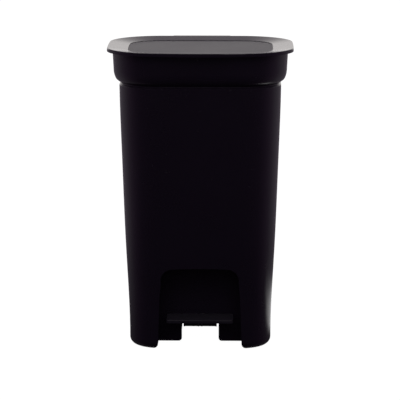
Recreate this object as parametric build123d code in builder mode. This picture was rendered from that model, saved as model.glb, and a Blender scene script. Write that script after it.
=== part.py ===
"""Pedal trash can of about 50 litres: a tapered plastic bin with a dished lid that a foot pedal opens.

Frame: millimetres, +Z up, +X to the right seen from the front, -Y is the front (pedal side).
The origin is on the floor, under the middle of the lid.
How it works: the pedal lever rocks on an axle under the bin floor, its rear tongue lifts a wire rod
that slides in a channel on the back, and the rod swings a crank on the lid's hinge leaf.
"""

import math
import os

from build123d import *

# ---------------------------------------------------------------- driving dimensions
HEIGHT = 640.0  # floor to the top of the lid rim
WALL = 2.6  # moulded wall of bin and pedal parts

RIM_HALF_W, RIM_HALF_D, RIM_R = 184.6, 152.6, 100.0  # outside of the collar at its top edge
RIM_Z = 633.2  # top edge of the collar
COLLAR_TAPER = 2.2  # how far the collar leans in before it rounds off
COLLAR_ROUND_Z, COLLAR_LOW_Z = 591.5, 570.4  # where the round under the collar starts and ends
COLLAR_LOW_INSET = 12.2
NECK_INSET, NECK_Z = 17.6, 566.2  # the narrow neck between collar and bin wall
SHOULDER_INSET, SHOULDER_Z = 14.0, 561.5  # top edge of the bin wall
MID_WALL = ((18.0, 425.0), (26.2, 207.0))  # (inset, height) of the slightly bowed wall
BASE_INSET, BASE_ROUND, SOLE_Z = 33.7, 15.0, 1.5
SOLE_FLANGE = 8.0  # flat flange under the wall, inside its bottom round

FLOOR_Z = 84.0  # underside of the bin floor
SKIRT_GAP_Z = 12.0  # the skirt between the feet stops here

ARCH_BACK_Y = -57.0  # rear wall of the toe recess
TUNNEL_HALF_W = 39.5  # lever tunnel under the floor
TUNNEL_TOP_Z = 66.0  # head of the tunnel mouth in the toe recess

LID_HALF_W, LID_REAR_Y, LID_FRONT_Y, LID_R = 197.0, 165.0, -173.0, 112.0
LID_FRONT_SAG, LID_SIDE_SAG = 28.0, 4.0  # how far the front edge and the sides bow out
LID_LIP_Z = 632.5
LID_SHEET = 2.5
DISH_RIM, DISH_WIDTH, DISH_DROP = 3.0, 43.0, 6.5  # rolled edge, sloping border, depth of the dish
PANEL_STEP = 0.9  # the flat panel lies this much below the inner edge of the border
TAB_HALF_W, TAB_REAR_Y = 64.0, 173.0  # hinge tab that stands out behind the rear edge
TAB_PAD_Z = 635.5  # underside of the pad that the hinge leaf is screwed to

HINGE_Y, HINGE_Z = 160.0, 626.0
HINGE_PIN_R, KNUCKLE_R = 2.5, 6.0
RUNNING = 0.06  # radial clearance of a turning fit

ROD_R, ROD_Y, ROD_X, ROD_BEND = 2.25, 143.5, -10.0, 5.0
LID_OPEN_DEG = 80.0
CRANK_REACH = HINGE_Y - ROD_Y  # the rod's line passes this far in front of the hinge axis
CRANK_RISE = CRANK_REACH * math.tan(math.radians(LID_OPEN_DEG / 2))  # rod stroke is twice this
ROD_TOP_Z = HINGE_Z - CRANK_RISE

PIVOT_Y, PIVOT_Z, AXLE_R = 25.0, 50.0, 3.0
ROD_LOW_Z = PIVOT_Z - CRANK_RISE
LEVER_HALF_W, LEVER_LOW_Z, LEVER_TOP_Z = 35.5, 38.5, 60.0
TREAD_HALF_W, TREAD_FRONT_Y, TREAD_REAR_Y = 71.0, -121.0, -78.0
TREAD_FRONT_Z, TREAD_REAR_Z = 66.0, 71.5

CHANNEL_HALF_W, CHANNEL_SIDE, CHANNEL_FLOOR_Y = 16.5, 7.5, 132.0
BACK_Y = RIM_HALF_D  # the channel's rear face is flush with the collar
COVER_HALF_W, COVER_THICK, COVER_Z = 22.5, 2.5, (86.0, 585.0)
GUIDE_HEIGHTS = {"rod_guide_lower": 210.0, "rod_guide_upper": 470.0}
GUIDE_HALF_H = 8.0
GUIDE_LUG, GUIDE_SLOT_Y = 20.5, (139.0, 148.0)  # snap lugs and the slots they sit in

FOOT_X, FOOT_Y, PAD_R = 110.0, 78.0, 11.0
SCREW_R, SCREW_HEAD_R, SCREW_HEAD = 1.5, 3.0, 1.8
FIT = 0.02  # screws and pressed pieces stand this clear of their holes


# ---------------------------------------------------------------- helpers used inside the part blocks
def block(x, y, z, mode=Mode.ADD):
    """A box in the active part between three (low, high) pairs."""
    with Locations(tuple((low + high) / 2 for low, high in (x, y, z))):
        Box(x[1] - x[0], y[1] - y[0], z[1] - z[0], mode=mode)


def rod_along_x(y, z, radius, x, mode=Mode.ADD):
    """A cylinder in the active part, along X between x[0] and x[1]."""
    with Locations(Location(((x[0] + x[1]) / 2, y, z), (0, 90, 0))):
        Cylinder(radius, x[1] - x[0], mode=mode)


def rod_along_y(x, z, radius, y, mode=Mode.ADD):
    """A cylinder in the active part, along Y between y[0] and y[1]."""
    with Locations(Location((x, (y[0] + y[1]) / 2, z), (90, 0, 0))):
        Cylinder(radius, y[1] - y[0], mode=mode)


def rod_along_z(x, y, radius, z, mode=Mode.ADD):
    """A cylinder in the active part, along Z between z[0] and z[1]."""
    with Locations((x, y, (z[0] + z[1]) / 2)):
        Cylinder(radius, z[1] - z[0], mode=mode)


def rim_outline(inset):
    """The bin's rounded outline in the active sketch, inset from the outside of the collar."""
    RectangleRounded(2 * (RIM_HALF_W - inset), 2 * (RIM_HALF_D - inset), RIM_R - inset)


def lid_outline(inset=0.0):
    """The lid's outline in the active sketch: a straight back, and sides and a front edge that bow out."""
    side, rear, front = LID_HALF_W - inset, LID_REAR_Y - inset, LID_FRONT_Y + inset
    corner_x, corner_y = side - LID_SIDE_SAG, front + LID_FRONT_SAG
    with BuildSketch(mode=Mode.PRIVATE) as plan:
        with BuildLine():
            ThreePointArc((-corner_x, corner_y), (0, front), (corner_x, corner_y))
            for sign in (-1, 1):
                middle = (sign * side, (corner_y + rear) / 2)
                ThreePointArc((sign * corner_x, corner_y), middle, (sign * corner_x, rear))
            Line((corner_x, rear), (-corner_x, rear))
        make_face()
        fillet(plan.vertices(), LID_R - inset)
    add(plan.sketch)


def save(piece, name):
    """Labels a finished piece and writes it as one STEP file."""
    piece.part.label = name
    export_step(piece.part, f"parts/{name}.step")


os.makedirs("parts", exist_ok=True)

# ---------------------------------------------------------------- bin wall, a section carried round the rim
FOOT_CENTRE = (-BASE_INSET - BASE_ROUND, SOLE_Z + BASE_ROUND)
with BuildLine() as bowed_wall:
    Spline(
        (-SHOULDER_INSET, SHOULDER_Z),
        *[(-inset, height) for inset, height in MID_WALL],
        (-BASE_INSET, SOLE_Z + BASE_ROUND),
        tangents=((-0.01, -1), (0, -1)),
    )
with BuildLine() as collar_round:
    Spline(
        (-COLLAR_TAPER, COLLAR_ROUND_Z),
        (-5.0, 579.4),
        (-8.3, 573.5),
        (-COLLAR_LOW_INSET, COLLAR_LOW_Z),
        tangents=((-0.06, -1), (-1, -0.8)),
    )
with BuildLine() as cove:
    Spline(
        (-COLLAR_LOW_INSET, COLLAR_LOW_Z),
        (-NECK_INSET, NECK_Z),
        (-SHOULDER_INSET, SHOULDER_Z),
        tangents=((-1, -0.8), (0.8, -1)),
    )


def inner_points(line, steps=10):
    """Points on the inner face of the wall, under a line of the outer face drawn from the top down."""
    points = []
    for step in range(steps + 1):
        at, heading = line @ (step / steps), line % (step / steps)
        points.append((at.X + WALL * heading.Y, at.Y - WALL * heading.X))
    return points


def inset_spline(line):
    """The inner face of the wall under one curved line of the outer face."""
    points = inner_points(line)
    Spline(*points, tangents=(line % 0, line % 1))
    return points[0], points[-1]


with BuildSketch() as wall_section:
    with BuildLine():
        Line((0, RIM_Z), (-COLLAR_TAPER, COLLAR_ROUND_Z))
        add(collar_round.line)
        add(cove.line)
        add(bowed_wall.line)
        CenterArc(FOOT_CENTRE, BASE_ROUND, 0, -90)
        round_top, round_end = inset_spline(collar_round.line)
        wall_top, wall_end = inset_spline(bowed_wall.line)
        cove_inside = [at for at in inner_points(cove.line) if at[1] > NECK_Z or at[0] < wall_top[0] - 0.3]
        Spline(*cove_inside, wall_top)
        CenterArc(FOOT_CENTRE, BASE_ROUND - WALL, 0, -90)
        Line((-WALL, RIM_Z), round_top)
        sole_x, flange_x = FOOT_CENTRE[0], FOOT_CENTRE[0] - SOLE_FLANGE
        Polyline((sole_x, SOLE_Z), (flange_x, SOLE_Z), (flange_x, SOLE_Z + WALL), (sole_x, SOLE_Z + WALL))
        Line((0, RIM_Z), (-WALL, RIM_Z))
    make_face()
    fillet(wall_section.vertices().group_by(Axis.Y)[-1], 1.0)


def carried_round(section):
    """A section drawn as (offset from the rim outline, height), carried all the way round the bin."""
    half_w, half_d = RIM_HALF_W - RIM_R, RIM_HALF_D - RIM_R
    upright = Plane.XZ * Pos(RIM_R, 0) * section
    corner = revolve(upright, axis=Axis.Z, revolution_arc=90)
    side = Pos(half_w, 0, 0) * extrude(upright, amount=half_d, both=True)
    rear = Pos(0, half_d, 0) * Rot(Z=90) * extrude(upright, amount=half_w, both=True)
    corners = [
        Pos(half_w, half_d, 0) * corner,
        Pos(-half_w, half_d, 0) * Rot(Z=90) * corner,
        Pos(-half_w, -half_d, 0) * Rot(Z=180) * corner,
        Pos(half_w, -half_d, 0) * Rot(Z=270) * corner,
    ]
    return Part() + [side, Rot(Z=180) * side, rear, Rot(Z=180) * rear, *corners]


wall_ring = carried_round(wall_section.sketch)


# The space inside the middle of the wall, which trims everything that is moulded onto the wall.
with BuildPart() as within_wall:
    for step in range(9):
        point = bowed_wall.line @ (1 - step / 8)
        with BuildSketch(Plane.XY.offset(point.Y)):
            rim_outline(-point.X + WALL / 2)
    loft()
    for degrees in range(0, 91, 15):
        reach = BASE_ROUND - WALL / 2
        lift, inward = reach * math.cos(math.radians(degrees)), reach * math.sin(math.radians(degrees))
        with BuildSketch(Plane.XY.offset(SOLE_Z + BASE_ROUND - lift)):
            rim_outline(BASE_INSET + BASE_ROUND - inward)
    loft(ruled=True)


def yz_prism(points, x, mode=Mode.ADD):
    """A prism along X in the active part, from a list of (y, z) corners."""
    with BuildSketch(Plane.YZ.offset(x[0]), mode=Mode.PRIVATE) as outline:
        with BuildLine():
            Polyline(*points, close=True)
        make_face()
    extrude(outline.sketch, amount=x[1] - x[0], mode=mode)


# ---------------------------------------------------------------- arch of the toe recess, in the front wall
ARCH_FOOT, ARCH_FLARE_R = ((102.0, SOLE_Z - 3), (102.0, SOLE_Z)), 14.0
ARCH_KNEE, ARCH_JAMB, ARCH_SPRING, ARCH_HEAD = (88.6, 16.0), (85.6, 110.0), (82.0, 148.0), (62.0, 176.5)
ARCH_CROWN_Z, ARCH_CORNER_R = 178.5, 24.0


def arch(grow, flared):
    """The recess as a solid, from in front of the bin back to its rear wall, grown outwards by the wall."""
    jamb, spring = (ARCH_JAMB[0] + grow, ARCH_JAMB[1]), (ARCH_SPRING[0] + grow, ARCH_SPRING[1])
    knee, head = (ARCH_KNEE[0] + grow, ARCH_KNEE[1]), (ARCH_HEAD[0], ARCH_HEAD[1] + grow)
    with BuildPart() as tool:
        with BuildSketch(Plane((0, -RIM_HALF_D - 5, 0), x_dir=(1, 0, 0), z_dir=(0, -1, 0))):
            with BuildLine():
                for side in (1, -1):
                    at = [(side * x, z) for x, z in (knee, jamb, spring, head)]
                    if flared:
                        start, toe = [(side * x, z) for x, z in ARCH_FOOT]
                        Line(start, toe)
                        RadiusArc(toe, at[0], side * ARCH_FLARE_R)
                    else:
                        start = (at[0][0], SOLE_Z)
                        Line(start, at[0])
                    Line(at[0], at[1])
                    Line(at[1], at[2])
                    RadiusArc(at[2], at[3], side * -(ARCH_CORNER_R + grow))
                ThreePointArc(head, (0, ARCH_CROWN_Z + grow), (-head[0], head[1]))
                Line((abs(start[0]), start[1]), (-abs(start[0]), start[1]))
            make_face()
        extrude(amount=-(RIM_HALF_D + 5 + ARCH_BACK_Y + grow))
    return tool.part


arch_void = arch(0, flared=True)

# ---------------------------------------------------------------- body_shell
SPINE_HALF_W = CHANNEL_HALF_W + CHANNEL_SIDE
SPINE_TOP_Z = 628.5  # the channel stops below the closed lid
BRACKET_SCREWS, BRACKET_SCREW_Z = (-54.0, -34.0, 34.0, 54.0), 602.0
BRACKET_PAD = ((-62.0, 62.0), (143.0, BACK_Y), (588.0, 622.0))
TUNNEL_WALL_X = TUNNEL_HALF_W + WALL
CRADLE_SCREWS = [(x, y) for x in (-50.0, 50.0) for y in (-33.0, 53.0)]
FLOOR_BOSS_R, FLOOR_BOSS_Z = 5.0, 90.0

with BuildPart() as moulded_inside:
    block((-RIM_HALF_W, RIM_HALF_W), (-RIM_HALF_D, RIM_HALF_D), (FLOOR_Z, FLOOR_Z + WALL))
    for side in (-1, 1):
        for end in (-1, 1):
            block(
                sorted((side * (FOOT_X - 16), side * RIM_HALF_W)),
                sorted((end * (FOOT_Y - 16), end * RIM_HALF_D)),
                (SOLE_Z, SOLE_Z + 3),
            )
    add(within_wall.part, mode=Mode.INTERSECT)
    add(arch(WALL + FIT, flared=False), mode=Mode.SUBTRACT)

with BuildPart() as body_shell:
    add(wall_ring)
    add(moulded_inside.part)
    block(*BRACKET_PAD)
    for x, y in CRADLE_SCREWS:
        rod_along_z(x, y, FLOOR_BOSS_R, (FLOOR_Z + 1, FLOOR_BOSS_Z))
    # the arch in the front wall and the gaps in the skirt between the feet
    add(arch_void, mode=Mode.SUBTRACT)
    block((-RIM_HALF_W, RIM_HALF_W), (-42, 42), (-1, SKIRT_GAP_Z), Mode.SUBTRACT)
    block((-80, 80), (60, RIM_HALF_D + 1), (-1, SKIRT_GAP_Z), Mode.SUBTRACT)
    block((-13, 13), (105, BACK_Y), (-1, 80), Mode.SUBTRACT)
    # opening for the top of the rod channel, cut just below the shoulder
    opening = SPINE_HALF_W + FIT
    opening_y = (CHANNEL_FLOOR_Y - WALL - FIT, BACK_Y + 1)
    block((-opening, opening), opening_y, (SHOULDER_Z - 0.4, RIM_Z + 1), Mode.SUBTRACT)
    # screw holes and the seats of the foot pads
    for x in (-FOOT_X, FOOT_X):
        for y in (-FOOT_Y, FOOT_Y):
            rod_along_z(x, y, PAD_R, (0, SOLE_Z + 1.5), Mode.SUBTRACT)
    for x in BRACKET_SCREWS:
        rod_along_y(x, BRACKET_SCREW_Z, SCREW_R, (144.5, BACK_Y + 1), Mode.SUBTRACT)
    for x, y in CRADLE_SCREWS:
        rod_along_z(x, y, SCREW_R, (FLOOR_Z - 1, FLOOR_BOSS_Z - 2), Mode.SUBTRACT)
save(body_shell, "body_shell")

# ---------------------------------------------------------------- lining of the toe recess, behind the arch
MOUTH_FLARE_R = 7.0
LINING_GAP = 0.7  # between the lining and the inner face of the bin wall
LINING_ROUND_Y, LINING_ROUND_R = BASE_INSET + BASE_ROUND - RIM_HALF_D, BASE_ROUND - WALL - LINING_GAP

lining_front = [
    (
        LINING_ROUND_Y - LINING_ROUND_R * math.cos(turn),
        SOLE_Z + BASE_ROUND - LINING_ROUND_R * math.sin(turn),
    )
    for turn in (1.2, 0.8, 0.4, 0.0)
]
for step in range(1, 8):
    point = bowed_wall.line @ (1 - step / 18)
    lining_front.append((-RIM_HALF_D - point.X + WALL + LINING_GAP, point.Y))

with BuildPart() as toe_recess:
    add(arch(WALL, flared=False))
    with BuildPart(mode=Mode.PRIVATE) as behind_wall:
        rear_y = ARCH_BACK_Y + 2 * WALL
        yz_prism([(rear_y, lining_front[0][1]), *lining_front, (rear_y, lining_front[-1][1])], (-100, 100))
    add(behind_wall.part, mode=Mode.INTERSECT)
    add(arch_void, mode=Mode.SUBTRACT)
    with BuildSketch(Plane((0, ARCH_BACK_Y - 2, 0), x_dir=(1, 0, 0), z_dir=(0, -1, 0))):
        low = lining_front[0][1]
        with BuildLine():
            for side in (-1, 1):
                toe = (side * (TUNNEL_HALF_W + MOUTH_FLARE_R), low)
                corner = (side * TUNNEL_HALF_W, low + MOUTH_FLARE_R)
                Polyline((toe[0], low - 2), toe)
                RadiusArc(toe, corner, side * MOUTH_FLARE_R)
                Line(corner, (side * TUNNEL_HALF_W, TUNNEL_TOP_Z))
            Line((-TUNNEL_HALF_W, TUNNEL_TOP_Z), (TUNNEL_HALF_W, TUNNEL_TOP_Z))
            Line((-TUNNEL_HALF_W - MOUTH_FLARE_R, low - 2), (TUNNEL_HALF_W + MOUTH_FLARE_R, low - 2))
        make_face()
    extrude(amount=-10, mode=Mode.SUBTRACT)
save(toe_recess, "toe_recess")

# ---------------------------------------------------------------- rod channel on the back
COVER_SCREWS = [(x, z) for z in (100.0, 330.0, 560.0) for x in (-19.3, 19.3)]
STAND_OFF = 0.12  # the channel's edges stand this clear of the bin wall

with BuildPart() as outside:
    for step in range(13):
        point = bowed_wall.line @ (1 - step / 12)
        with BuildSketch(Plane.XY.offset(point.Y)):
            rim_outline(-point.X - STAND_OFF)
    loft()

with BuildPart() as rod_channel:
    for side in (-1, 1):
        across = sorted((side * CHANNEL_HALF_W, side * SPINE_HALF_W))
        block(across, (105.0, BACK_Y), (25.0, SHOULDER_Z))
    add(outside.part, mode=Mode.SUBTRACT)
    front, low = CHANNEL_FLOOR_Y - WALL, SHOULDER_Z + 2 * FIT
    ledge_y = RIM_HALF_D - SHOULDER_INSET
    block((-SPINE_HALF_W, SPINE_HALF_W), (front, BACK_Y), (low, SPINE_TOP_Z))
    for side in (-1, 1):
        across = sorted((side * CHANNEL_HALF_W, side * SPINE_HALF_W))
        block(across, (ledge_y + STAND_OFF, BACK_Y), (SHOULDER_Z - 1, low + 1))
    inside = (-CHANNEL_HALF_W, CHANNEL_HALF_W)
    block(inside, (CHANNEL_FLOOR_Y, BACK_Y + 1), (low + WALL, SPINE_TOP_Z + 1), Mode.SUBTRACT)
    block(inside, (ledge_y, BACK_Y + 1), (0, SPINE_TOP_Z + 1), Mode.SUBTRACT)
    rebate = COVER_HALF_W + 0.3
    rebate_z = (COVER_Z[0] - 0.5, COVER_Z[1] + 0.5)
    block((-rebate, rebate), (BACK_Y - COVER_THICK, BACK_Y + 1), rebate_z, Mode.SUBTRACT)
    for z in GUIDE_HEIGHTS.values():
        block((-GUIDE_LUG - 0.5, GUIDE_LUG + 0.5), GUIDE_SLOT_Y, (z - 4, z + 4), Mode.SUBTRACT)
    for x, z in COVER_SCREWS:
        rod_along_y(x, z, SCREW_R, (BACK_Y - 11, BACK_Y), Mode.SUBTRACT)
save(rod_channel, "rod_channel")

# ---------------------------------------------------------------- cradle that carries the pedal axle
PIVOT_BOSS_R, BUSH_R, BOSS_OUT = 11.0, 5.5, 5.0
CRADLE_Y, CRADLE_TOP = (-52.0, 70.0), FLOOR_Z - FIT

with BuildPart() as pedal_cradle:
    block((-TUNNEL_WALL_X, TUNNEL_WALL_X), CRADLE_Y, (30.0, CRADLE_TOP))
    for side in (-1, 1):
        across = sorted((side * (TUNNEL_WALL_X - 1), side * (TUNNEL_WALL_X + BOSS_OUT)))
        rod_along_x(PIVOT_Y, PIVOT_Z, PIVOT_BOSS_R, across)
    for x, y in CRADLE_SCREWS:
        tab_x = sorted((x, math.copysign(TUNNEL_WALL_X - 1, x)))
        block(tab_x, (y - 7, y + 7), (CRADLE_TOP - WALL, CRADLE_TOP))
        rod_along_z(x, y, 7.0, (CRADLE_TOP - WALL, CRADLE_TOP))
    block((-TUNNEL_HALF_W, TUNNEL_HALF_W), (-60, 80), (20, CRADLE_TOP - WALL), Mode.SUBTRACT)
    rod_along_x(PIVOT_Y, PIVOT_Z, BUSH_R, (-60, 60), Mode.SUBTRACT)
    for x, y in CRADLE_SCREWS:
        rod_along_z(x, y, SCREW_R, (70, 90), Mode.SUBTRACT)
save(pedal_cradle, "pedal_cradle")

# ---------------------------------------------------------------- lid
BUMPERS = ((-80.0, -151.3), (80.0, -151.3), (-78.0, 151.3), (78.0, 151.3))
BUMPER_R, BUMPER_Z = 4.0, (RIM_Z + 0.15, 636.0)
LEAF_SCREWS, LEAF_SCREW_Y = (-31.0, -12.0, 12.0, 31.0), 167.4
RIB_LOW_Z = 626.0
RIB_INSET = WALL + 4.5

with BuildPart() as dish:
    for inset, z in ((DISH_RIM, HEIGHT), (DISH_WIDTH, HEIGHT - DISH_DROP + PANEL_STEP)):
        with BuildSketch(Plane.XY.offset(z)):
            lid_outline(inset)
    loft(ruled=True)
    with BuildSketch(Plane.XY.offset(HEIGHT - DISH_DROP)):
        lid_outline(DISH_WIDTH + 0.4)
    extrude(amount=2 * PANEL_STEP)
with BuildPart() as belly:
    for inset, z in ((2.0, HEIGHT - 2.4), (DISH_WIDTH + 0.4, HEIGHT - DISH_DROP - LID_SHEET)):
        with BuildSketch(Plane.XY.offset(z)):
            lid_outline(inset)
    loft(ruled=True)
with BuildPart() as lid_ribs:
    with BuildSketch(Plane.XY.offset(RIB_LOW_Z)):
        rim_outline(RIB_INSET)
        rim_outline(RIB_INSET + 2.0)
    extrude(amount=10)
    with BuildSketch(Plane.XY.offset(RIB_LOW_Z)) as rib_void:
        rim_outline(RIB_INSET + 2.0)
    extrude(amount=10, mode=Mode.SUBTRACT)
    block((-30, 30), (120, 160), (RIB_LOW_Z - 1, 640), Mode.SUBTRACT)
    rib_x, rib_y = RIM_HALF_W - RIB_INSET - 1, RIM_HALF_D - RIB_INSET - 1
    for x in (-96.0, -32.0, 32.0, 96.0):
        block((x - 1, x + 1), (-rib_y, rib_y), (RIB_LOW_Z + 1, 632))
    for y in (-70.0, 0.0, 70.0):
        block((-rib_x, rib_x), (y - 1, y + 1), (RIB_LOW_Z + 1, 632))

with BuildPart() as lid:
    with BuildSketch(Plane.XY.offset(LID_LIP_Z)):
        lid_outline()
        with Locations((0, (TAB_REAR_Y + 150) / 2)):
            RectangleRounded(2 * TAB_HALF_W, TAB_REAR_Y - 150, 6)
    extrude(amount=HEIGHT - LID_LIP_Z)
    fillet(lid.faces().sort_by(Axis.Z)[-1].outer_wire().edges(), 1.8)
    with BuildSketch(Plane.XY.offset(LID_LIP_Z - 1)):
        lid_outline(LID_SHEET)
    extrude(amount=HEIGHT - 2.4 - LID_LIP_Z + 1, mode=Mode.SUBTRACT)
    add(belly.part)
    add(lid_ribs.part)
    add(dish.part, mode=Mode.SUBTRACT)
    block((-60, 60), (153.5, TAB_REAR_Y - LID_SHEET), (LID_LIP_Z - 1, TAB_PAD_Z), Mode.SUBTRACT)
    for x, y in BUMPERS:
        rod_along_z(x, y, BUMPER_R + FIT, (630, BUMPER_Z[1]), Mode.SUBTRACT)
    for x in LEAF_SCREWS:
        rod_along_z(x, LEAF_SCREW_Y, SCREW_R, (TAB_PAD_Z - 1, TAB_PAD_Z + 2.6), Mode.SUBTRACT)
save(lid, "lid")

with BuildPart() as lid_bumpers:
    for x, y in BUMPERS:
        rod_along_z(x, y, BUMPER_R, (BUMPER_Z[0], BUMPER_Z[1] - FIT))
save(lid_bumpers, "lid_bumpers")

# ---------------------------------------------------------------- hinge
BRACKET_THICK = 2.5
BRACKET_KNUCKLE, LEAF_KNUCKLE = (38.0, 58.0), (26.0, 36.0)
BRACKET_FACE = BACK_Y + FIT
LEAF_TOP = TAB_PAD_Z - FIT
LEAF_PLATE_Z = (LEAF_TOP - 2.0, LEAF_TOP)
CRANK_HALF_W = 4.0
CRANK_SLOT = (CRANK_REACH, CRANK_REACH / math.cos(math.radians(LID_OPEN_DEG / 2)))
CRANK_PLAY = 0.95


with BuildPart() as hinge_bracket:
    block((-60, 60), (BRACKET_FACE, BRACKET_FACE + BRACKET_THICK), (590, 621))
    for side in (-1, 1):
        across = sorted((side * BRACKET_KNUCKLE[0], side * BRACKET_KNUCKLE[1]))
        yz_prism(
            ((BRACKET_FACE, 606), (155.1, 606), (165.2, 623), (162, 628), (156, 630.5), (BRACKET_FACE, 621)),
            across,
        )
        rod_along_x(HINGE_Y, HINGE_Z, KNUCKLE_R, across)
    block((-17, 17), (150, 158), (597, 630), Mode.SUBTRACT)
    rod_along_x(HINGE_Y, HINGE_Z, HINGE_PIN_R + FIT, (-61, 61), Mode.SUBTRACT)
    for x in BRACKET_SCREWS:
        rod_along_y(x, BRACKET_SCREW_Z, SCREW_R, (150, 158), Mode.SUBTRACT)
save(hinge_bracket, "hinge_bracket")

with BuildPart() as hinge_leaf:
    block((-36, 36), (155.5, 170.2), LEAF_PLATE_Z)
    for low, high in ((-LEAF_KNUCKLE[1], -LEAF_KNUCKLE[0]), LEAF_KNUCKLE, (-CRANK_HALF_W, CRANK_HALF_W)):
        rod_along_x(HINGE_Y, HINGE_Z, KNUCKLE_R, (low, high))
        block((low, high), (HINGE_Y - 3.5, HINGE_Y + 3.5), (HINGE_Z, LEAF_PLATE_Z[0] + 0.5))
    with BuildSketch(Plane.YZ.offset(-CRANK_HALF_W)) as crank:
        middle = (CRANK_SLOT[0] + CRANK_SLOT[1]) / 2
        turn = 180 + LID_OPEN_DEG / 2
        along = (math.cos(math.radians(turn)), math.sin(math.radians(turn)))
        end = CRANK_SLOT[1] + ROD_R + CRANK_PLAY + 2.1
        hub = KNUCKLE_R - 0.5
        centre = (end - hub) / 2
        with Locations(Location((HINGE_Y + along[0] * centre, HINGE_Z + along[1] * centre, 0), turn)):
            SlotOverall(end + hub, 2 * hub)
        with Locations(Location((HINGE_Y + along[0] * middle, HINGE_Z + along[1] * middle, 0), turn)):
            slot_w = 2 * (ROD_R + CRANK_PLAY)
            SlotOverall(CRANK_SLOT[1] - CRANK_SLOT[0] + slot_w + 0.6, slot_w, mode=Mode.SUBTRACT)
    extrude(amount=2 * CRANK_HALF_W)
    rod_along_x(HINGE_Y, HINGE_Z, HINGE_PIN_R + RUNNING, (-40, 40), Mode.SUBTRACT)
    for x in LEAF_SCREWS:
        rod_along_z(x, LEAF_SCREW_Y, SCREW_R, (630, 640), Mode.SUBTRACT)
save(hinge_leaf, "hinge_leaf")

with BuildPart() as hinge_pin:
    rod_along_x(HINGE_Y, HINGE_Z, HINGE_PIN_R, (-61, 61))
    chamfer(hinge_pin.edges(), 0.5)
save(hinge_pin, "hinge_pin")

with BuildPart() as hinge_pin_caps:
    for side in (-1, 1):
        rod_along_x(HINGE_Y, HINGE_Z, KNUCKLE_R - 0.8, sorted((side * 58.1, side * 62.5)))
    rod_along_x(HINGE_Y, HINGE_Z, HINGE_PIN_R + FIT, (-61.1, 61.1), Mode.SUBTRACT)
save(hinge_pin_caps, "hinge_pin_caps")


def pan_screw(at, direction, length):
    """One pan-head screw in the active part: head resting on the point, shank along direction."""
    seat = Plane(at, z_dir=direction).location
    with Locations(seat * Pos(0, 0, length / 2)):
        Cylinder(SCREW_R - FIT, length)
    with Locations(seat * Pos(0, 0, -SCREW_HEAD / 2)):
        Cylinder(SCREW_HEAD_R, SCREW_HEAD)
    with Locations(seat * Pos(0, 0, -SCREW_HEAD)):
        Box(3.4, 0.8, 2.0, mode=Mode.SUBTRACT)
        Box(0.8, 3.4, 2.0, mode=Mode.SUBTRACT)


with BuildPart() as bracket_screws:
    for x in BRACKET_SCREWS:
        pan_screw((x, BRACKET_FACE + BRACKET_THICK + FIT, BRACKET_SCREW_Z), (0, -1, 0), 9.5)
save(bracket_screws, "bracket_screws")

with BuildPart() as leaf_screws:
    for x in LEAF_SCREWS:
        pan_screw((x, LEAF_SCREW_Y, LEAF_PLATE_Z[0] - FIT), (0, 0, 1), 4.4)
save(leaf_screws, "leaf_screws")

# ---------------------------------------------------------------- lift rod and what guides it
LEG_END_X = 8.5
NUT_X = (5.6, 7.1)

with BuildPart() as lift_rod:
    with BuildLine() as wire_path:
        FilletPolyline(
            (LEG_END_X, ROD_Y, ROD_TOP_Z),
            (ROD_X, ROD_Y, ROD_TOP_Z),
            (ROD_X, ROD_Y, ROD_LOW_Z),
            (LEG_END_X, ROD_Y, ROD_LOW_Z),
            radius=ROD_BEND,
        )
    with BuildSketch(Plane((LEG_END_X, ROD_Y, ROD_TOP_Z), z_dir=(-1, 0, 0))):
        Circle(ROD_R)
    sweep(path=wire_path.line)
save(lift_rod, "lift_rod")

with BuildPart() as rod_push_nuts:
    for z in (ROD_LOW_Z, ROD_TOP_Z):
        rod_along_x(ROD_Y, z, ROD_R + 2.0, NUT_X)
        rod_along_x(ROD_Y, z, ROD_R + FIT, NUT_X, Mode.SUBTRACT)
save(rod_push_nuts, "rod_push_nuts")


def rod_guide(z):
    """A guide that snaps into the channel's side walls and keeps the rod in line."""
    with BuildPart() as guide:
        block((-CHANNEL_HALF_W + 0.1, CHANNEL_HALF_W - 0.1), (137.0, 149.8), (z - 3, z + 3))
        rod_along_z(ROD_X, ROD_Y, 5.0, (z - GUIDE_HALF_H, z + GUIDE_HALF_H))
        block((-GUIDE_LUG, GUIDE_LUG), (GUIDE_SLOT_Y[0] + 0.1, GUIDE_SLOT_Y[1] - 0.1), (z - 3, z + 3))
        rod_along_z(ROD_X, ROD_Y, ROD_R + RUNNING, (z - 10, z + 10), Mode.SUBTRACT)
    return guide


for guide_name, guide_z in GUIDE_HEIGHTS.items():
    save(rod_guide(guide_z), guide_name)

with BuildPart() as rear_cover:
    block((-COVER_HALF_W, COVER_HALF_W), (BACK_Y - COVER_THICK + FIT, BACK_Y + FIT), COVER_Z)
    fillet(rear_cover.edges().filter_by(Axis.Y), 3.0)
    chamfer(rear_cover.faces().sort_by(Axis.Y)[-1].edges(), 0.5)
    for x, z in COVER_SCREWS:
        rod_along_y(x, z, SCREW_R, (148, 156), Mode.SUBTRACT)
save(rear_cover, "rear_cover")

with BuildPart() as cover_screws:
    for x, z in COVER_SCREWS:
        pan_screw((x, BACK_Y + 2 * FIT, z), (0, -1, 0), 9.0)
save(cover_screws, "cover_screws")

# ---------------------------------------------------------------- pedal
TREAD_LIP = 6.5
TREAD_INNER = (TREAD_FRONT_Y + WALL, TREAD_REAR_Y - WALL)
TREAD_CEILING = (TREAD_FRONT_Z - WALL, TREAD_REAR_Z - WALL)
TREAD_SLOPE = (TREAD_CEILING[1] - TREAD_CEILING[0]) / (TREAD_INNER[1] - TREAD_INNER[0])
SEAT = 3.0  # thickness of the tread's seat on the lever


def ceiling(y):
    """Height of the tread's underside at a given depth."""
    return TREAD_CEILING[0] + (y - TREAD_INNER[0]) * TREAD_SLOPE


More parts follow.
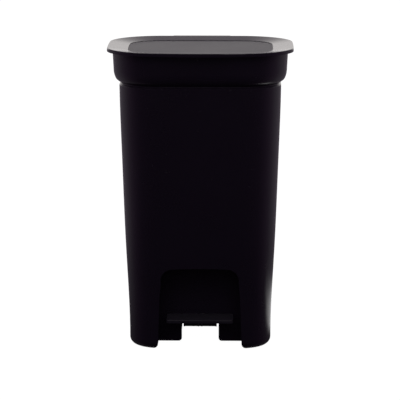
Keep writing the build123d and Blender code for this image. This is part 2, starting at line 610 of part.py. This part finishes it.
LEVER_FRONT_Y = TREAD_FRONT_Y + 6
LEVER_SIDE = (
    (62.0, LEVER_TOP_Z),
    (-61.0, LEVER_TOP_Z),
    (-80.0, ceiling(-80.0) - SEAT - FIT),
    (LEVER_FRONT_Y, ceiling(LEVER_FRONT_Y) - SEAT - FIT),
    (LEVER_FRONT_Y, 59.0),
    (-80.0, 56.0),
    (-62.0, LEVER_LOW_Z),
    (62.0, LEVER_LOW_Z),
)
LEVER_PLATE = 3.0
TONGUE_HALF_W = 5.0
TONGUE_END_Y = ROD_Y + 4.3
TREAD_SCREWS, TREAD_SCREW_Y, TREAD_SCREW_TOP = (-20.0, 20.0), -98.0, 67.1
SEAT_HALF_W = 33.0

with BuildPart() as pedal_lever:
    yz_prism(LEVER_SIDE, (-LEVER_HALF_W, LEVER_HALF_W))
    with BuildPart(mode=Mode.PRIVATE) as lever_hollow:
        under = [(y, z - LEVER_PLATE) for y, z in LEVER_SIDE[:4]] + [(LEVER_FRONT_Y, 30), (62, 30)]
        yz_prism(under, (-LEVER_HALF_W + LEVER_PLATE, LEVER_HALF_W - LEVER_PLATE))
        for y in (59.0, 11.0, -25.0, -60.0, -90.0):
            block((-40, 40), (y, y + 3), (20, 80), Mode.SUBTRACT)
        for x in (-TONGUE_HALF_W, TONGUE_HALF_W - 2.5):
            block((x, x + 2.5), (-130, 70), (20, 80), Mode.SUBTRACT)
    add(lever_hollow.part, mode=Mode.SUBTRACT)
    rod_along_x(PIVOT_Y, PIVOT_Z, 7.5, (-LEVER_HALF_W, LEVER_HALF_W))
    yz_prism(
        (
            (60, 60),
            (118, 52),
            (TONGUE_END_Y, ROD_LOW_Z + 5.5),
            (TONGUE_END_Y, ROD_LOW_Z - 5.5),
            (118, 34),
            (60, 42),
        ),
        (-TONGUE_HALF_W, TONGUE_HALF_W),
    )
    rod_along_x(PIVOT_Y, PIVOT_Z, AXLE_R + RUNNING, (-40, 40), Mode.SUBTRACT)
    with BuildSketch(Plane.YZ.offset(-10)):
        with Locations((ROD_Y, ROD_LOW_Z)):
            SlotOverall(2 * ROD_R + 3.0, 2 * ROD_R + 0.4)
    extrude(amount=20, mode=Mode.SUBTRACT)
    for x in TREAD_SCREWS:
        rod_along_z(x, TREAD_SCREW_Y, SCREW_R, (40, 80), Mode.SUBTRACT)
save(pedal_lever, "pedal_lever")

with BuildPart() as pedal_tread:
    yz_prism(
        (
            (TREAD_FRONT_Y, TREAD_FRONT_Z - TREAD_LIP),
            (TREAD_FRONT_Y, TREAD_FRONT_Z),
            (TREAD_REAR_Y, TREAD_REAR_Z),
            (TREAD_REAR_Y, TREAD_REAR_Z - TREAD_LIP),
        ),
        (-TREAD_HALF_W, TREAD_HALF_W),
    )
    fillet(pedal_tread.edges().filter_by(Axis.Z), 6.0)
    fillet(pedal_tread.faces().filter_by(lambda f: f.normal_at().Z > 0.9).edges(), 1.6)
    # hollow underside with a seat for the lever, which enters through the rear edge
    front, rear = TREAD_INNER
    yz_prism(
        ((front, 40), (front, ceiling(front)), (rear, ceiling(rear)), (rear, 40)),
        (-TREAD_HALF_W + WALL, TREAD_HALF_W - WALL),
        Mode.SUBTRACT,
    )
    seat_top = [(front, ceiling(front)), (rear, ceiling(rear))]
    seat_low = [(rear, ceiling(rear) - SEAT), (front, ceiling(front) - SEAT)]
    yz_prism(seat_top + seat_low, (-SEAT_HALF_W, SEAT_HALF_W))
    notch = LEVER_HALF_W + 0.3
    block((-notch, notch), (rear, TREAD_REAR_Y + 1), (40, ceiling(rear) - SEAT + 0.3), Mode.SUBTRACT)
    for x in TREAD_SCREWS:
        rod_along_z(x, TREAD_SCREW_Y, SCREW_R, (50, TREAD_SCREW_TOP + 0.2), Mode.SUBTRACT)
save(pedal_tread, "pedal_tread")

# ---------------------------------------------------------------- pivot and feet
BUSH_X = (37.2, 48.0)
CLIP_X = (48.3, 49.5)
with BuildPart() as pivot_axle:
    rod_along_x(PIVOT_Y, PIVOT_Z, AXLE_R, (-52, 52))
    chamfer(pivot_axle.edges(), 0.5)
save(pivot_axle, "pivot_axle")

for bush_name, side in (("axle_bush_left", -1), ("axle_bush_right", 1)):
    with BuildPart() as axle_bush:
        rod_along_x(PIVOT_Y, PIVOT_Z, BUSH_R - FIT, sorted((side * BUSH_X[0], side * BUSH_X[1])))
        rod_along_x(PIVOT_Y, PIVOT_Z, BUSH_R + 3, sorted((side * BUSH_X[0], side * (TUNNEL_HALF_W - FIT))))
        rod_along_x(PIVOT_Y, PIVOT_Z, AXLE_R + FIT, (-60, 60), Mode.SUBTRACT)
    save(axle_bush, bush_name)

with BuildPart() as axle_clips:
    for side in (-1, 1):
        across = sorted((side * CLIP_X[0], side * CLIP_X[1]))
        rod_along_x(PIVOT_Y, PIVOT_Z, AXLE_R + 3.2, across)
        block(across, (PIVOT_Y - 1.5, PIVOT_Y + 1.5), (PIVOT_Z, PIVOT_Z + 10), Mode.SUBTRACT)
    rod_along_x(PIVOT_Y, PIVOT_Z, AXLE_R + FIT, (-60, 60), Mode.SUBTRACT)
save(axle_clips, "axle_clips")

with BuildPart() as foot_pads:
    for x in (-FOOT_X, FOOT_X):
        for y in (-FOOT_Y, FOOT_Y):
            rod_along_z(x, y, PAD_R - FIT, (0, SOLE_Z + 1.5 - FIT))
    chamfer(foot_pads.faces().group_by(Axis.Z)[0].edges(), 0.6)
save(foot_pads, "foot_pads")

with BuildPart() as cradle_screws:
    for x, y in CRADLE_SCREWS:
        pan_screw((x, y, CRADLE_TOP - WALL - FIT), (0, 0, 1), 6.0)
save(cradle_screws, "cradle_screws")

with BuildPart() as tread_screws:
    for x in TREAD_SCREWS:
        head_z = ceiling(TREAD_SCREW_Y - SCREW_HEAD_R) - SEAT - LEVER_PLATE - 2 * FIT
        pan_screw((x, TREAD_SCREW_Y, head_z), (0, 0, 1), TREAD_SCREW_TOP - head_z)
save(tread_screws, "tread_screws")
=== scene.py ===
"""Looks for the pedal trash can: black moulded plastic, a pale floor and a soft studio."""

import math

import bpy
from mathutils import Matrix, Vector


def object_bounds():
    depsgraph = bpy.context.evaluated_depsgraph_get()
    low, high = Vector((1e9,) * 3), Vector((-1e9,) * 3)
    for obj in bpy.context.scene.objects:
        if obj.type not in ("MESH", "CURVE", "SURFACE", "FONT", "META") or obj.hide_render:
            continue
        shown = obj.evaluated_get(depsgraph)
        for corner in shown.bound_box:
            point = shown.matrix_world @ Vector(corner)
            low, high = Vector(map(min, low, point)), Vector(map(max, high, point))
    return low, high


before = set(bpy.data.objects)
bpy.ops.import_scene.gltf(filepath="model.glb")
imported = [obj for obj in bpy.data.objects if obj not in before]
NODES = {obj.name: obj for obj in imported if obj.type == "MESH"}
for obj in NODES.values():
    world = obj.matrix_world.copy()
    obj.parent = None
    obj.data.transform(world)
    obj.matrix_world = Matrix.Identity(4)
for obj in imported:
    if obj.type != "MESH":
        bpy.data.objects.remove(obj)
CAD_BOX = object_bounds()
scene = bpy.context.scene


# ---------------------------------------------------------------- node helpers
class Nodes:
    """A small wrapper that adds and links shader nodes."""

    def __init__(self, tree):
        self.tree = tree
        self.nodes = tree.nodes
        self.nodes.clear()

    def add(self, kind, settings=None, **inputs):
        node = self.nodes.new(kind)
        for key, value in (settings or {}).items():
            setattr(node, key, value)
        for key, value in inputs.items():
            self.feed(node, key.replace("_", " "), value)
        return node

    def feed(self, node, name, value):
        socket = node.inputs[int(name)] if name.isdigit() else node.inputs[name]
        if isinstance(value, bpy.types.NodeSocket):
            self.tree.links.new(value, socket)
        else:
            socket.default_value = value

    def math(self, operation, *values, clamp=False):
        node = self.add("ShaderNodeMath", {"operation": operation, "use_clamp": clamp})
        for index, value in enumerate(values):
            self.feed(node, str(index), value)
        return node.outputs[0]

    def ramp(self, value, stops):
        """A colour ramp through (position, grey or colour) stops."""
        node = self.add("ShaderNodeValToRGB")
        elements = node.color_ramp.elements
        while len(elements) < len(stops):
            elements.new(0.5)
        for element, (position, colour) in zip(elements, stops):
            element.position = position
            element.color = colour if isinstance(colour, tuple) else (colour, colour, colour, 1)
        self.feed(node, "Fac", value)
        return node.outputs["Color"]

    def mix(self, factor, first, second, blend="MIX"):
        node = self.add("ShaderNodeMix", {"data_type": "RGBA", "blend_type": blend})
        for index, value in ((0, factor), (6, first), (7, second)):
            self.feed(node, str(index), value)
        return node.outputs[2]

    def noise(self, vector, scale, detail, roughness=0.5):
        node = self.add("ShaderNodeTexNoise", Vector=vector, Scale=scale, Detail=detail, Roughness=roughness)
        return node.outputs["Fac"]

    def surface(self, shader, output="ShaderNodeOutputMaterial"):
        """Connects the shader to the output, which ends the tree."""
        self.feed(self.add(output), "Surface", shader.outputs[0])


def new_material(name):
    material = bpy.data.materials.new(name)
    material.use_nodes = True
    return material, Nodes(material.node_tree)


def shade_of(base, factor):
    """The base colour, lighter or darker, as a socket's four numbers."""
    return tuple(min(1, channel * factor) for channel in base) + (1,)


PLASTIC_IOR = 1.49
GREY_SCUFF, PALE_DUST = (0.05, 0.05, 0.052, 1), (0.30, 0.28, 0.27, 1)


def moulded_plastic(name, base, roughness, grain, grain_size=900.0, dust=0.0, panel=None):
    """Injection-moulded plastic: spark-eroded grain, slow gloss variation, faint scuffs, a little dust.

    panel is (height, roughness): what lies flat below that height has a coarser grain and that roughness.
    """
    material, n = new_material(name)
    place = n.add("ShaderNodeTexCoord").outputs["Object"]
    slow = n.noise(place, 9.0, 2.0)
    fine = n.noise(place, grain_size, 2.0, 0.6)
    stretched = n.add("ShaderNodeMapping", Vector=place, Scale=(60.0, 60.0, 4.0))
    streak = n.noise(stretched.outputs[0], 1.0, 4.0)
    scuff = n.ramp(n.noise(place, 55.0, 6.0, 0.7), ((0.60, 0.0), (0.72, 1.0)))
    tone = n.mix(slow, shade_of(base, 0.9), shade_of(base, 1.1))
    tone = n.mix(n.math("MULTIPLY", scuff, 0.03), tone, GREY_SCUFF)
    up = n.add("ShaderNodeSeparateXYZ", Vector=n.add("ShaderNodeNewGeometry").outputs["Normal"]).outputs["Z"]
    if dust:
        lies = n.math("MULTIPLY", n.ramp(up, ((0.6, 0.0), (0.95, 1.0))), n.noise(place, 260.0, 5.0, 0.7))
        tone = n.mix(n.math("MULTIPLY", lies, dust), tone, PALE_DUST)
    gloss = n.math("ADD", roughness - 0.03, n.math("MULTIPLY", slow, 0.04))
    gloss = n.math("ADD", gloss, n.math("MULTIPLY", streak, 0.02))
    gloss = n.math("ADD", gloss, n.math("MULTIPLY", scuff, 0.05), clamp=True)
    strength = grain
    if panel:
        height = n.add("ShaderNodeSeparateXYZ", Vector=place).outputs["Z"]
        flat = n.math("MULTIPLY", n.math("LESS_THAN", height, panel[0]), n.math("GREATER_THAN", up, 0.9))
        gloss = n.math("ADD", gloss, n.math("MULTIPLY", flat, panel[1] - roughness), clamp=True)
        strength = n.math("MULTIPLY_ADD", flat, 3 * grain, grain)
    bump = n.add("ShaderNodeBump", Strength=strength, Distance=0.00012, Height=fine)
    shader = n.add("ShaderNodeBsdfPrincipled", Base_Color=tone, Roughness=gloss, Normal=bump.outputs[0])
    shader.inputs["IOR"].default_value = PLASTIC_IOR
    n.surface(shader)
    return material


def metal(name, base, roughness):
    """Zinc-plated steel: a fine crystal grain and a slight mottle of passivation."""
    material, n = new_material(name)
    place = n.add("ShaderNodeTexCoord").outputs["Object"]
    crystals = n.noise(place, 900.0, 4.0)
    mottle = n.noise(place, 120.0, 4.0)
    tone = n.mix(mottle, shade_of(base, 0.85), shade_of(base, 1.1))
    gloss = n.math("ADD", roughness, n.math("MULTIPLY", crystals, 0.12), clamp=True)
    bump = n.add("ShaderNodeBump", Strength=0.08, Distance=0.0001, Height=crystals)
    shader = n.add("ShaderNodeBsdfPrincipled", Base_Color=tone, Roughness=gloss, Normal=bump.outputs[0])
    shader.inputs["Metallic"].default_value = 1.0
    n.surface(shader)
    return material


def rubber(name, base):
    """Dull rubber with a fine mottle."""
    material, n = new_material(name)
    place = n.add("ShaderNodeTexCoord").outputs["Object"]
    mottle = n.noise(place, 400.0, 4.0, 0.7)
    tone = n.mix(mottle, shade_of(base, 0.8), shade_of(base, 1.3))
    bump = n.add("ShaderNodeBump", Strength=0.3, Distance=0.0003, Height=mottle)
    shader = n.add("ShaderNodeBsdfPrincipled", Base_Color=tone, Roughness=0.75, Normal=bump.outputs[0])
    n.surface(shader)
    return material


BLACK = (0.0138, 0.0092, 0.0182)  # a black with a purple cast
PANEL_TOP = CAD_BOX[1][2] - 0.006  # the lid's flat panel lies below this height, its sloping border above
LOOKS = {
    "bin": moulded_plastic("bin_black_plastic", BLACK, 0.24, grain=0.10),
    "lid": moulded_plastic("lid_black_plastic", BLACK, 0.13, grain=0.06, dust=0.02, panel=(PANEL_TOP, 0.42)),
    "pedal": moulded_plastic("pedal_black_plastic", (0.017, 0.014, 0.022), 0.34, grain=0.2, dust=0.03),
    "hinge": moulded_plastic("hinge_black_plastic", (0.014, 0.013, 0.016), 0.42, grain=0.3, grain_size=600.0),
    "nylon": moulded_plastic("natural_nylon", (0.62, 0.59, 0.52), 0.45, grain=0.1),
    "steel": metal("zinc_plated_steel", (0.62, 0.62, 0.64), 0.26),
    "rubber": rubber("black_rubber", (0.012, 0.012, 0.012)),
}
WEARS = {
    "bin": ("body_shell", "toe_recess", "rod_channel", "rear_cover"),
    "lid": ("lid",),
    "pedal": ("pedal_lever", "pedal_tread"),
    "hinge": ("hinge_bracket", "hinge_leaf", "hinge_pin_caps", "pedal_cradle"),
    "nylon": ("rod_guide_lower", "rod_guide_upper", "axle_bush_left", "axle_bush_right"),
    "steel": (
        "hinge_pin",
        "bracket_screws",
        "leaf_screws",
        "cover_screws",
        "cradle_screws",
        "tread_screws",
        "lift_rod",
        "rod_push_nuts",
        "pivot_axle",
        "axle_clips",
    ),
    "rubber": ("lid_bumpers", "foot_pads"),
}
for look, names in WEARS.items():
    for name in names:
        node = NODES[name]
        node.data.materials.clear()
        node.data.materials.append(LOOKS[look])


# ---------------------------------------------------------------- floor, studio and camera
# From straight in front (0) to straight behind (1): how bright the room is, and its green against its red.
DUSK = (
    (0.0, 0.010, 0.76),
    (0.25, 0.033, 0.68),
    (0.42, 0.09, 0.64),
    (0.58, 0.15, 0.72),
    (0.75, 0.22, 0.87),
    (1.0, 0.17, 0.86),
)
DUSK_BLUE = 1.04  # the blue of all of them against their red
WALL_BRIGHTNESS, WALL_TINT = 0.80, (1, 0.985, 0.93, 1)
CEILING_BRIGHTNESS, CEILING_TINT = 0.44, (1, 0.96, 1, 1)
UNLIT, WHITE = (0, 0, 0, 1), (1, 1, 1, 1)


def room(n, heading):
    """How bright the studio looks in a direction: dark by the camera, dim at the sides, a white wall behind.

    A dull ceiling overhead gives the rounded lips their soft upper light.
    """
    axis = n.add("ShaderNodeSeparateXYZ", Vector=heading).outputs
    across = n.math("SQRT", n.math("ADD", n.math("POWER", axis["X"], 2.0), n.math("POWER", axis["Y"], 2.0)))
    along = n.math("DIVIDE", axis["Y"], n.math("MAXIMUM", across, 0.001))
    turned = n.math("MULTIPLY_ADD", along, 0.5, 0.5, clamp=True)
    sides = n.ramp(turned, [(at, (level, level * green, level * DUSK_BLUE, 1)) for at, level, green in DUSK])
    wall = n.ramp(turned, ((0.885, 0.0), (0.966, 1.0)))
    rise = n.math("MULTIPLY_ADD", axis["Z"], 0.5, 0.5, clamp=True)
    band = n.ramp(rise, ((0.44, 0.0), (0.475, 1.0), (0.60, 1.0), (0.71, 0.0)))
    white = n.math("MULTIPLY", n.math("MULTIPLY", wall, band), WALL_BRIGHTNESS)
    white = n.mix(white, UNLIT, WALL_TINT)
    ceiling = n.math("MULTIPLY", n.ramp(rise, ((0.70, 0.0), (0.86, 1.0))), CEILING_BRIGHTNESS)
    ceiling = n.mix(ceiling, UNLIT, CEILING_TINT)
    return n.mix(1.0, n.mix(1.0, sides, white, "ADD"), ceiling, "ADD")


def floor_in_reflections(n, place):
    """The floor as the plastic sees it: the room's brightness, dimmed where the bin shades the floor.

    Behind the bin's right-hand foot it has a lit patch.
    """
    towards = n.add("ShaderNodeVectorMath", {"operation": "SCALE"}, Scale=-1.0)
    n.feed(towards, "0", place["Incoming"])
    distance = n.add("ShaderNodeVectorMath", {"operation": "LENGTH"})
    n.feed(distance, "0", place["Position"])
    apart = n.math("MULTIPLY", distance.outputs["Value"], 0.5)  # 0 to 1 over two metres
    shade = n.ramp(apart, ((0.12, 0.30), (0.65, 1.0)))
    at = n.add("ShaderNodeSeparateXYZ", Vector=place["Position"]).outputs
    to_the_right = n.ramp(at["X"], ((0.16, 0.0), (0.20, 1.0)))
    behind = n.ramp(at["Y"], ((0.0, 0.0), (0.08, 1.0)))
    close = n.ramp(apart, ((0.09, 0.0), (0.12, 1.0), (0.22, 1.0), (0.32, 0.0)))
    lit = n.math("MULTIPLY", n.math("MULTIPLY", to_the_right, behind), close)
    return n.mix(1.0, n.mix(1.0, room(n, towards.outputs[0]), shade, "MULTIPLY"), lit, "ADD")


def pale_floor():
    """White to the eye and clear from below, with its own look in reflections."""
    material, n = new_material("pale_floor")
    seen = n.add("ShaderNodeLightPath").outputs["Is Camera Ray"]
    place = n.add("ShaderNodeNewGeometry").outputs
    paper = n.add("ShaderNodeBsdfDiffuse", Color=(0.10, 0.10, 0.10, 1))
    glow = n.add("ShaderNodeEmission", Color=WHITE, Strength=1.0)
    bright = n.add("ShaderNodeAddShader", **{"0": paper.outputs[0], "1": glow.outputs[0]})
    dull = n.add("ShaderNodeEmission", Color=floor_in_reflections(n, place), Strength=1.0)
    both = n.add("ShaderNodeMixShader", **{"0": seen, "1": dull.outputs[0], "2": bright.outputs[0]})
    clear = n.add("ShaderNodeBsdfTransparent").outputs[0]
    n.surface(n.add("ShaderNodeMixShader", **{"0": place["Backfacing"], "1": both.outputs[0], "2": clear}))
    return material


def build_floor():
    """A square of floor, half a millimetre under the feet."""
    mesh = bpy.data.meshes.new("floor")
    reach, low = 30.0, -0.0005
    corners = [(-reach, -reach, low), (reach, -reach, low), (reach, reach, low), (-reach, reach, low)]
    mesh.from_pydata(corners, [], [(0, 1, 2, 3)])
    mesh.materials.append(pale_floor())
    floor = bpy.data.objects.new("floor", mesh)
    scene.collection.objects.link(floor)


def build_world():
    """White to the eye; in reflections it is the room."""
    world = bpy.data.worlds.new("studio")
    scene.world = world
    world.use_nodes = True
    n = Nodes(world.node_tree)
    seen = n.add("ShaderNodeLightPath").outputs["Is Camera Ray"]
    colour = n.mix(seen, room(n, n.add("ShaderNodeTexCoord").outputs["Generated"]), WHITE)
    n.surface(n.add("ShaderNodeBackground", Color=colour, Strength=1.0), "ShaderNodeOutputWorld")


LAMPS_AIM_AT = (0, 0, 0.35)


def softbox(name, at, width, height, power):
    """A rectangular lamp that lights the bin but isn't mirrored in it."""
    light = bpy.data.lights.new(name, "AREA")
    light.shape = "RECTANGLE"
    light.size, light.size_y, light.energy = width, height, power
    lamp = bpy.data.objects.new(name, light)
    lamp.location = at
    lamp.rotation_euler = (Vector(LAMPS_AIM_AT) - Vector(at)).to_track_quat("-Z", "Y").to_euler()
    lamp.visible_glossy = False
    scene.collection.objects.link(lamp)


def build_camera():
    """A long lens, a little above the bin and almost straight in front of it."""
    turn, tilt = math.radians(1.0), math.radians(10.62)
    away, height, aside = 4.631, 1.1715, -0.0015
    data = bpy.data.cameras.new("camera")
    data.sensor_width, data.lens = 36.0, 196.9
    data.clip_start, data.clip_end = 0.1, 100.0
    camera = bpy.data.objects.new("camera", data)
    camera.location = (away * math.sin(turn) + aside, -away * math.cos(turn), height)
    camera.rotation_euler = (math.pi / 2 - tilt, 0.0, turn)
    scene.collection.objects.link(camera)
    scene.camera = camera


build_floor()
build_world()
softbox("front_softbox", (0.0, -2.6, 1.5), 3.4, 2.4, 15)
softbox("left_softbox", (-2.4, 0.4, 1.6), 1.2, 1.8, 4)
softbox("right_softbox", (2.4, 0.4, 1.6), 1.2, 1.8, 4)
build_camera()
scene.view_settings.view_transform = "Standard"
scene.view_settings.look = "None"
